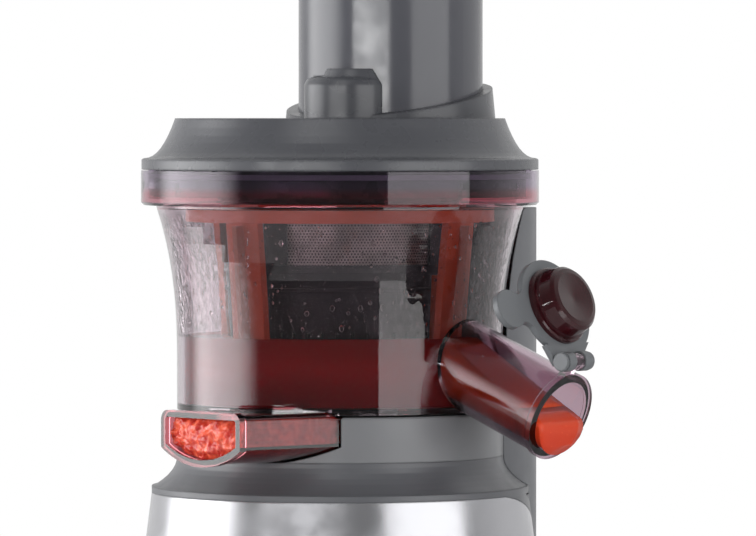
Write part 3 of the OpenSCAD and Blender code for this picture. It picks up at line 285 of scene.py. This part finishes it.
def screen_material():
    """Etched steel sheet: staggered rows of round holes, drawn by angle and height."""
    g = Graph("screen_mesh")
    around = g.math("MULTIPLY", g.math("ARCTAN2", g.axis("Y"), g.axis("X")), SCREEN_RADIUS)
    across = g.math("DIVIDE", around, HOLE_PITCH)
    up = g.math("DIVIDE", g.axis("Z"), HOLE_PITCH * ROW_STEP)
    row = g.math("FLOOR", up)
    shifted = g.math("ADD", across, g.math("MULTIPLY", row, 0.5))
    du = g.math("SUBTRACT", g.math("FRACT", shifted), 0.5)
    dv = g.math("MULTIPLY", g.math("SUBTRACT", g.math("FRACT", up), 0.5), ROW_STEP)
    reach = g.math("SQRT", g.math("ADD", g.math("MULTIPLY", du, du), g.math("MULTIPLY", dv, dv)))
    sheet = g.ramp(reach, *HOLE_EDGE)
    base = g.tone((0.46, 0.42, 0.39), 0.3, 120)
    residue = g.ramp(g.noise(90, 5.0), 0.52, 0.68)
    base = g.mix(g.math("MULTIPLY", residue, 0.5), base, (0.42, 0.16, 0.10))
    # the holes are painted near-black: painted shade of the strainer's inside, with the black
    # auger, seen through them
    return g.set(Base_Color=g.mix(sheet, (0.03, 0.02, 0.02), base),
                 Roughness=g.ramp(g.noise(400), 0.3, 0.7, 0.28, 0.45),
                 Normal=g.bump(sheet, 0.6, 0.0002), Metallic=g.math("MULTIPLY", sheet, 0.75))


def juice_material(name, light, deep, z_shaded, z_lit):
    """Juice that is deep red below one height and light above another, with fine bits."""
    g = Graph(name)
    # painted shade: the juice goes from light at its top to deep red lower down, darker where less
    # light reaches into it
    colour = g.mix(g.ramp(g.axis("Z"), z_shaded, z_lit), deep, light)
    bits = g.ramp(g.cells(420), 0.0, 0.22, 1.0, 0.0)
    colour = g.mix(g.math("MULTIPLY", bits, 0.25), colour, [min(1, c * 1.6) for c in light])
    return g.set(Base_Color=colour, Roughness=g.ramp(g.noise(150), 0.3, 0.7, 0.10, 0.20),
                 Normal=g.bump(g.noise(70, 2.0), 0.15, 0.0006), IOR=JUICE_IOR,
                 Subsurface_Weight=0.25, Subsurface_Radius=(0.004, 0.0008, 0.0004),
                 Subsurface_Scale=1.0)


def pulp_material():
    """Moist red pulp with pale flecks."""
    g = Graph("pulp_red")
    lumps = g.noise(260, 5.0, distortion=0.5)
    colour = g.mix(g.ramp(lumps, 0.35, 0.65), (0.52, 0.020, 0.012), (0.86, 0.130, 0.060))
    pale = g.ramp(g.cells(520), 0.0, 0.25, 1.0, 0.0)
    colour = g.mix(g.math("MULTIPLY", pale, 0.35), colour, (0.95, 0.42, 0.25))
    return g.set(Base_Color=colour, Roughness=g.ramp(g.noise(500), 0.3, 0.7, 0.12, 0.34),
                 Normal=g.bump(g.noise(900, 3.0), 0.5, 0.0004), Subsurface_Weight=0.35,
                 Subsurface_Radius=(0.003, 0.0008, 0.0004), Subsurface_Scale=1.0)


def plug_material():
    """Dark red plug that lets some light through."""
    g = Graph("plug_clear")
    return g.set(Base_Color=g.tone((0.10, 0.012, 0.018), 0.15, 90),
                 Roughness=g.ramp(g.noise(150), 0.3, 0.7, 0.06, 0.16),
                 Normal=g.bump(g.noise(160, 3.0), 0.12, 0.0004),
                 Transmission_Weight=0.75, IOR=1.5)


def drop_material():
    """Clear drops on the bowl's wall."""
    g = Graph("droplets_clear")
    return g.set(Base_Color=g.tone((0.97, 0.93, 0.92), 0.03, 90),
                 Roughness=g.ramp(g.noise(150), 0.3, 0.7, 0.0, 0.04),
                 Transmission_Weight=1.0, IOR=JUICE_IOR)


MATS["screen"] = screen_material()
# both juices are painted lighter at their tops and darker lower down, as painted shade
MATS["juice"] = juice_material("juice_deep", (0.50, 0.012, 0.010), (0.34, 0.003, 0.006),
                               0.190, 0.212)
MATS["juice"].set(Specular_IOR_Level=0.05)  # it wets the wall, with no air between
MATS["flow"] = juice_material("juice_bright", (0.84, 0.105, 0.020), (0.62, 0.045, 0.012),
                              0.172, 0.200)
MATS["pulp"] = pulp_material()
MATS["plug"] = plug_material()
MATS["drops"] = drop_material()

# which material each node of the frame gets
FINISH = {
    "silver": "front_housing",
    "shell": "rear_housing",
    "shoulder": "top_shoulder",
    "lever": "cap_lever cap_pin control_knob",
    "lid": "lid_cover",
    "tube": "feed_tube",
    "seat": "bowl_seat",
    "pusher": "pusher",
    "dark": "bottom_plate cord_gland switch_body interlock_switch motor_fan",
    "rubber": "ring_foot",
    "steel": "base_screws motor_screws motor_shaft gearbox_screws layshaft output_shaft "
             "output_bearings idler_pin auger_socket",
    "enamel": "motor",
    "board": "control_board",
    "alloy": "gearbox_housing gearbox_cover",
    "bronze": "layshaft_bushes",
    "acetal": "lay_gear output_gear idler_gear auger_gear lid_bushing",
    "bowl": "bowl",
    "spout": "juice_spout",
    "chute": "pulp_chute",
    "plug": "cap_plug",
    "seal": "shaft_seal lid_seal",
    "black": "strainer_frame",
    "auger": "auger_screw",
    "screen": "strainer_screen",
    "brush": "brush_frame",
    "wiper": "brush_wipers",
}


for key, names in FINISH.items():
    for name in names.split():
        for place in NODES[name].material_slots:
            place.material = MATS[key].mat


# ---------------------------------------------------------------- pieces
def piece_from(name, bm, key):
    """A smooth piece of the bowl unit, in the material of that key."""
    bmesh.ops.recalc_face_normals(bm, faces=bm.faces)
    mesh = bpy.data.meshes.new(name)
    bm.to_mesh(mesh)
    bm.free()
    for polygon in mesh.polygons:
        polygon.use_smooth = True
    piece = bpy.data.objects.new(name, mesh)
    scene.collection.objects.link(piece)
    piece.data.materials.append(MATS[key].mat)
    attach(piece, "bowl_unit")
    return piece


def rings_to_mesh(rings):
    """A closed skin over rings of points with equal counts; each ring is closed."""
    bm = bmesh.new()
    rows = [[bm.verts.new(p) for p in ring] for ring in rings]
    count = len(rows[0])
    for low, high in zip(rows, rows[1:]):
        for i in range(count):
            j = (i + 1) % count
            bm.faces.new((low[i], low[j], high[j], high[i]))
    bm.faces.new(rows[0])
    bm.faces.new(rows[-1])
    return bm


def lathe(profile_mm, steps=144):
    """A closed ring turned from a closed outline of (radius, height) in mm."""
    bm = bmesh.new()
    rows = []
    for s in range(steps):
        a = 2 * math.pi * s / steps
        rows.append([bm.verts.new((r * MM * math.cos(a), r * MM * math.sin(a), z * MM))
                     for r, z in profile_mm])
    count = len(profile_mm)
    for s in range(steps):
        here, there = rows[s], rows[(s + 1) % steps]
        for i in range(count):
            j = (i + 1) % count
            bm.faces.new((here[i], here[j], there[j], there[i]))
    return bm


# juice in the bowl between wall and strainer, in mm, with its edge drawn up where it wets them
JUICE_TOP = 210.3
JUICE_FLOOR = 185.7
JUICE_STEP = 189.0  # it rises to here over the gear ring at the floor
RING_OUT = 54.3
BOWL_IN = 59.35
STRAINER_OUT = 42.6
pool = [(RING_OUT, JUICE_FLOOR), (BOWL_IN, JUICE_FLOOR), (BOWL_IN, JUICE_TOP + 0.9),
        (BOWL_IN - 0.6, JUICE_TOP + 0.2), (BOWL_IN - 1.8, JUICE_TOP),
        (STRAINER_OUT + 1.9, JUICE_TOP), (STRAINER_OUT + 0.3, JUICE_TOP + 0.6),
        (STRAINER_OUT, JUICE_TOP + 0.6), (STRAINER_OUT, JUICE_STEP), (RING_OUT, JUICE_STEP)]
piece_from("juice_pool", lathe(pool), "juice")

# juice that runs down the spout: a filled circle segment, thinner towards the mouth
MOUTH = Vector((105.5, 0, 182.9)) * MM
TILT = math.radians(22.5)
OUTWARD = Vector((math.cos(TILT), 0, -math.sin(TILT)))
UPWARD = Vector((math.sin(TILT), 0, math.cos(TILT)))
BORE = 13.75
WALL_IN = 59.9
ARC_POINTS = 28
CHORD_PARTS = 8
SAG = 0.35  # the juice's surface lies this much lower in its middle, in mm


def segment(level, radius):
    """Outline of the part of a circle below a level, as (sideways, up) in mm."""
    half = math.acos(max(-1.0, min(1.0, -level / radius)))
    turns = [half * (2 * i / (ARC_POINTS - 1) - 1) for i in range(ARC_POINTS)]
    arc = [(radius * math.sin(a), -radius * math.cos(a)) for a in turns]
    (x_from, y_from), (x_to, _) = arc[-1], arc[0]
    chord = [(x_from + (x_to - x_from) * k / CHORD_PARTS,
              y_from - SAG * math.sin(math.pi * k / CHORD_PARTS)) for k in range(1, CHORD_PARTS)]
    return arc + chord


def spout_ring(along, level, radius=BORE, from_wall=None):
    """Points round the juice, this far past the mouth in mm, and its level over the bore's middle.

    from_wall is the share of the way from the bowl's wall to that place.
    """
    ring = []
    for side, up in segment(level, radius):
        reach = along
        if from_wall is not None:
            x = math.sqrt(WALL_IN ** 2 - side ** 2)
            start = (x - MOUTH.x / MM - UPWARD.x * up) / OUTWARD.x
            reach = start + (along - start) * from_wall
        ring.append(MOUTH + OUTWARD * (reach * MM) + UPWARD * (up * MM) + Vector((0, side * MM, 0)))
    return ring


LIP_FROM = -9.0
LEVEL_AT_WALL = 8.6
FLOW_PARTS = 12
flow = []
for k in range(FLOW_PARTS + 1):
    share = k / FLOW_PARTS
    level = LEVEL_AT_WALL - LEVEL_AT_WALL * share ** 0.8
    flow.append(spout_ring(LIP_FROM, level, from_wall=share))
piece_from("juice_flow", rings_to_mesh(flow), "flow")
lip = [spout_ring(LIP_FROM + 0.02, 0.0), spout_ring(-4.5, -0.5), spout_ring(0.2, -1.4),
       spout_ring(1.4, -2.6, 13.9), spout_ring(2.3, -4.6, 14.2), spout_ring(2.8, -7.4, 14.3),
       spout_ring(3.0, -10.0, 14.2)]
lip_piece = piece_from("juice_lip", rings_to_mesh(lip), "flow")
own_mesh(lip_piece)

# pulp that fills the chute up to its mouth, in mm
CHUTE_TURN = math.radians(258)
CHUTE_OUT = Vector((math.cos(CHUTE_TURN), math.sin(CHUTE_TURN), 0))
CHUTE_SIDE = Vector((-CHUTE_OUT.y, CHUTE_OUT.x, 0))
PULP_LOW, PULP_HIGH = 4.0, 46.0
PULP_ARC, PULP_ARC_Z = 43.8, 211.16
PULP_TOP = 182.2
PULP_FRONT, PULP_BACK = 85.0, 34.0
LUMP_SCALE = 0.17
LUMP_HEIGHT = 1.9
RIM_DROP = 1.6  # the pulp's face falls back this much at its rim


def chute_point(out, side, z):
    return (CHUTE_OUT * out + CHUTE_SIDE * side) * MM + Vector((0, 0, z * MM))


def lump(side, z):
    """How far the pulp's face stands out at a place, in lumps."""
    spot = Vector((side, z, 3.1)) * LUMP_SCALE
    return noise.fractal(spot, 0.8, 2.1, 4) + 0.6 * abs(noise.noise(spot * 3.1))


def pulp(across=64, up=26):
    """A block with a lumpy front face and an arched foot."""
    bm = bmesh.new()
    middle = (PULP_LOW + PULP_HIGH) / 2
    grids = []
    for out, lumpy in ((PULP_FRONT, True), (PULP_BACK, False)):
        grid = []
        for i in range(across + 1):
            side = PULP_LOW + (PULP_HIGH - PULP_LOW) * i / across
            foot = PULP_ARC_Z - math.sqrt(PULP_ARC ** 2 - (side - middle) ** 2)
            column = []
            for j in range(up + 1):
                z = foot + (PULP_TOP - foot) * j / up
                reach = out
                if lumpy:
                    rim = min(i, across - i, 2 * j, 2 * (up - j)) / 10
                    reach += LUMP_HEIGHT * lump(side, z) - RIM_DROP * (1 - min(1.0, rim))
                column.append(bm.verts.new(chute_point(reach, side, z)))
            grid.append(column)
        grids.append(grid)
        for i in range(across):
            for j in range(up):
                bm.faces.new((grid[i][j], grid[i + 1][j], grid[i + 1][j + 1], grid[i][j + 1]))
    edge = ([(i, 0) for i in range(across)] + [(across, j) for j in range(up)]
            + [(i, up) for i in range(across, 0, -1)] + [(0, j) for j in range(up, 0, -1)])
    front, back = grids
    for (i, j), (m, n) in zip(edge, edge[1:] + edge[:1]):
        bm.faces.new((front[i][j], front[m][n], back[m][n], back[i][j]))
    return bm


piece_from("pulp", pulp(), "pulp")

# drops that cling inside the bowl above the juice, in mm
BOWL_R = 62.3
BOWL_WALL = 2.6
FLARE_FROM, FLARE_TALL, FLARE = 200.3, 59.5, 7.8
DROPS_LOW, DROPS_HIGH = 215, 254
DROP_FLAT = 0.42  # thickness over width
DROP_SUNK = 0.05


def bowl_inside(z):
    swell = max(0.0, (z - FLARE_FROM) / FLARE_TALL)
    return BOWL_R - BOWL_WALL + FLARE * swell ** 2.5


def droplets(count=900, seed=11):
    """Flattened beads at random places on the wall, a little taller than wide."""
    random.seed(seed)
    bead = bmesh.new()
    bmesh.ops.create_uvsphere(bead, u_segments=8, v_segments=6, radius=1.0)
    bead.verts.index_update()
    spots = [v.co.copy() for v in bead.verts]
    skin = [[v.index for v in face.verts] for face in bead.faces]
    bead.free()
    verts, faces = [], []
    for _ in range(count):
        z = random.uniform(DROPS_LOW, DROPS_HIGH)
        a = random.uniform(0, 2 * math.pi)
        size = (0.22 + 0.75 * random.random() ** 3) * MM
        tall = size * random.uniform(1.0, 1.6)
        place = Vector((math.cos(a), math.sin(a), 0)) * (bowl_inside(z) - DROP_SUNK) * MM
        place.z = z * MM
        shape = (Matrix.Translation(place) @ Matrix.Rotation(a, 4, "Z")
                 @ Matrix.Diagonal((DROP_FLAT * size, size, tall, 1)))
        first = len(verts)
        verts += [shape @ spot for spot in spots]
        faces += [[first + i for i in face] for face in skin]
    mesh = bpy.data.meshes.new("beads")
    mesh.from_pydata(verts, [], faces)
    bm = bmesh.new()
    bm.from_mesh(mesh)
    bpy.data.meshes.remove(mesh)
    return bm


piece_from("wall_drops", droplets(), "drops")

# ---------------------------------------------------------------- stage and light
FLOOR_RADIUS = 0.8
FLOOR_GLOW = 0.6  # seen by the camera only, so that the floor is white and keeps the shadow

floor_mesh = bpy.data.meshes.new("floor")
bm = bmesh.new()
bmesh.ops.create_circle(bm, cap_ends=True, segments=128, radius=FLOOR_RADIUS)
bm.to_mesh(floor_mesh)
bm.free()
floor = bpy.data.objects.new("floor", floor_mesh)
scene.collection.objects.link(floor)
g = Graph("floor_white")
seen = g.add("ShaderNodeLightPath").outputs["Is Camera Ray"]
g.set(Base_Color=(0.86, 0.86, 0.86, 1), Roughness=0.6, Emission_Color=(1, 1, 1, 1),
      Emission_Strength=g.math("MULTIPLY", seen, FLOOR_GLOW))
floor_mesh.materials.append(g.mat)

world = bpy.data.worlds.new("studio")
scene.world = world
world.use_nodes = True
tree = world.node_tree
tree.nodes.clear()


def join(kind, *sources, operation=None):
    """A node of the world with its first inputs linked, and its first output."""
    node = tree.nodes.new(kind)
    if operation:
        node.operation = operation
    for socket, source in zip(node.inputs, sources):
        tree.links.new(source, socket)
    return node.outputs[0] if node.outputs else None


def background(rgb, strength):
    node = tree.nodes.new("ShaderNodeBackground")
    node.inputs["Color"].default_value = (*rgb, 1)
    if hasattr(strength, "is_output"):
        tree.links.new(strength, node.inputs["Strength"])
    else:
        node.inputs["Strength"].default_value = strength
    return node.outputs[0]


def lobe(direction, low, high, dark, light):
    """Strength in the room, from dark to light as the way looked nears the given one."""
    dot = tree.nodes.new("ShaderNodeVectorMath")
    dot.operation = "DOT_PRODUCT"
    dot.inputs[1].default_value = tuple(direction)
    tree.links.new(room_direction, dot.inputs[0])
    shade = tree.nodes.new("ShaderNodeMapRange")
    shade.interpolation_type = "SMOOTHSTEP"
    for key, value in (("From Min", low), ("From Max", high), ("To Min", dark), ("To Max", light)):
        shade.inputs[key].default_value = value
    tree.links.new(dot.outputs["Value"], shade.inputs["Value"])
    return shade.outputs["Result"]


def seen_from_camera(degrees):
    """Level direction that lies this far to the right of the camera, seen from the object."""
    a = CAM_AZIMUTH + math.radians(degrees)
    return Vector((math.sin(a), -math.cos(a), 0))


# the camera sees white; gloss and glass see a room that is white behind the object and dark in
# front of it, with a soft window at the left; all else gets a dim, even light
room_direction = tree.nodes.new("ShaderNodeTexCoord").outputs["Generated"]
ray = tree.nodes.new("ShaderNodeLightPath").outputs
window = lobe(seen_from_camera(-95), 0.80, 0.99, 0.0, 5.4)
room = lobe(-towards, -0.5, 0.5, 0.20, 1.0)
glossy = join("ShaderNodeMath", ray["Is Glossy Ray"], ray["Is Transmission Ray"],
              operation="MAXIMUM")
mirrored_room = background((0.8, 0.8, 0.8), join("ShaderNodeMath", window, room, operation="ADD"))
lit = join("ShaderNodeMixShader", glossy, background((0.94, 0.96, 1.0), 0.24), mirrored_room)
shown = join("ShaderNodeMixShader", ray["Is Camera Ray"], lit, background((1, 1, 1), 1.0))
join("ShaderNodeOutputWorld", shown)


LAMP_AIM = 0.3  # lamps point at this height on the axis, or lower


def softbox(name, degrees, distance, height, width, tall, power, mirrored=True):
    """A rectangular lamp, this far to the right of the camera as seen from the object."""
    data = bpy.data.lights.new(name, "AREA")
    data.shape = "RECTANGLE"
    data.size = width
    data.size_y = tall
    data.energy = power
    lamp = bpy.data.objects.new(name, data)
    scene.collection.objects.link(lamp)
    lamp.location = seen_from_camera(degrees) * distance + Vector((0, 0, height))
    look = Vector((0, 0, min(height, LAMP_AIM))) - lamp.location
    lamp.rotation_euler = look.to_track_quat("-Z", "Y").to_euler()
    lamp.visible_glossy = mirrored
    lamp.visible_transmission = mirrored


softbox("left_box", -90, 1.2, 0.45, 0.9, 1.0, 13, mirrored=False)
softbox("right_box", 52, 1.0, 0.30, 0.95, 0.9, 6.0)
softbox("tube_box", -25, 4.0, 0.35, 3.4, 0.17, 34)
softbox("top_box", -20, 1.4, 1.5, 1.0, 1.0, 5)
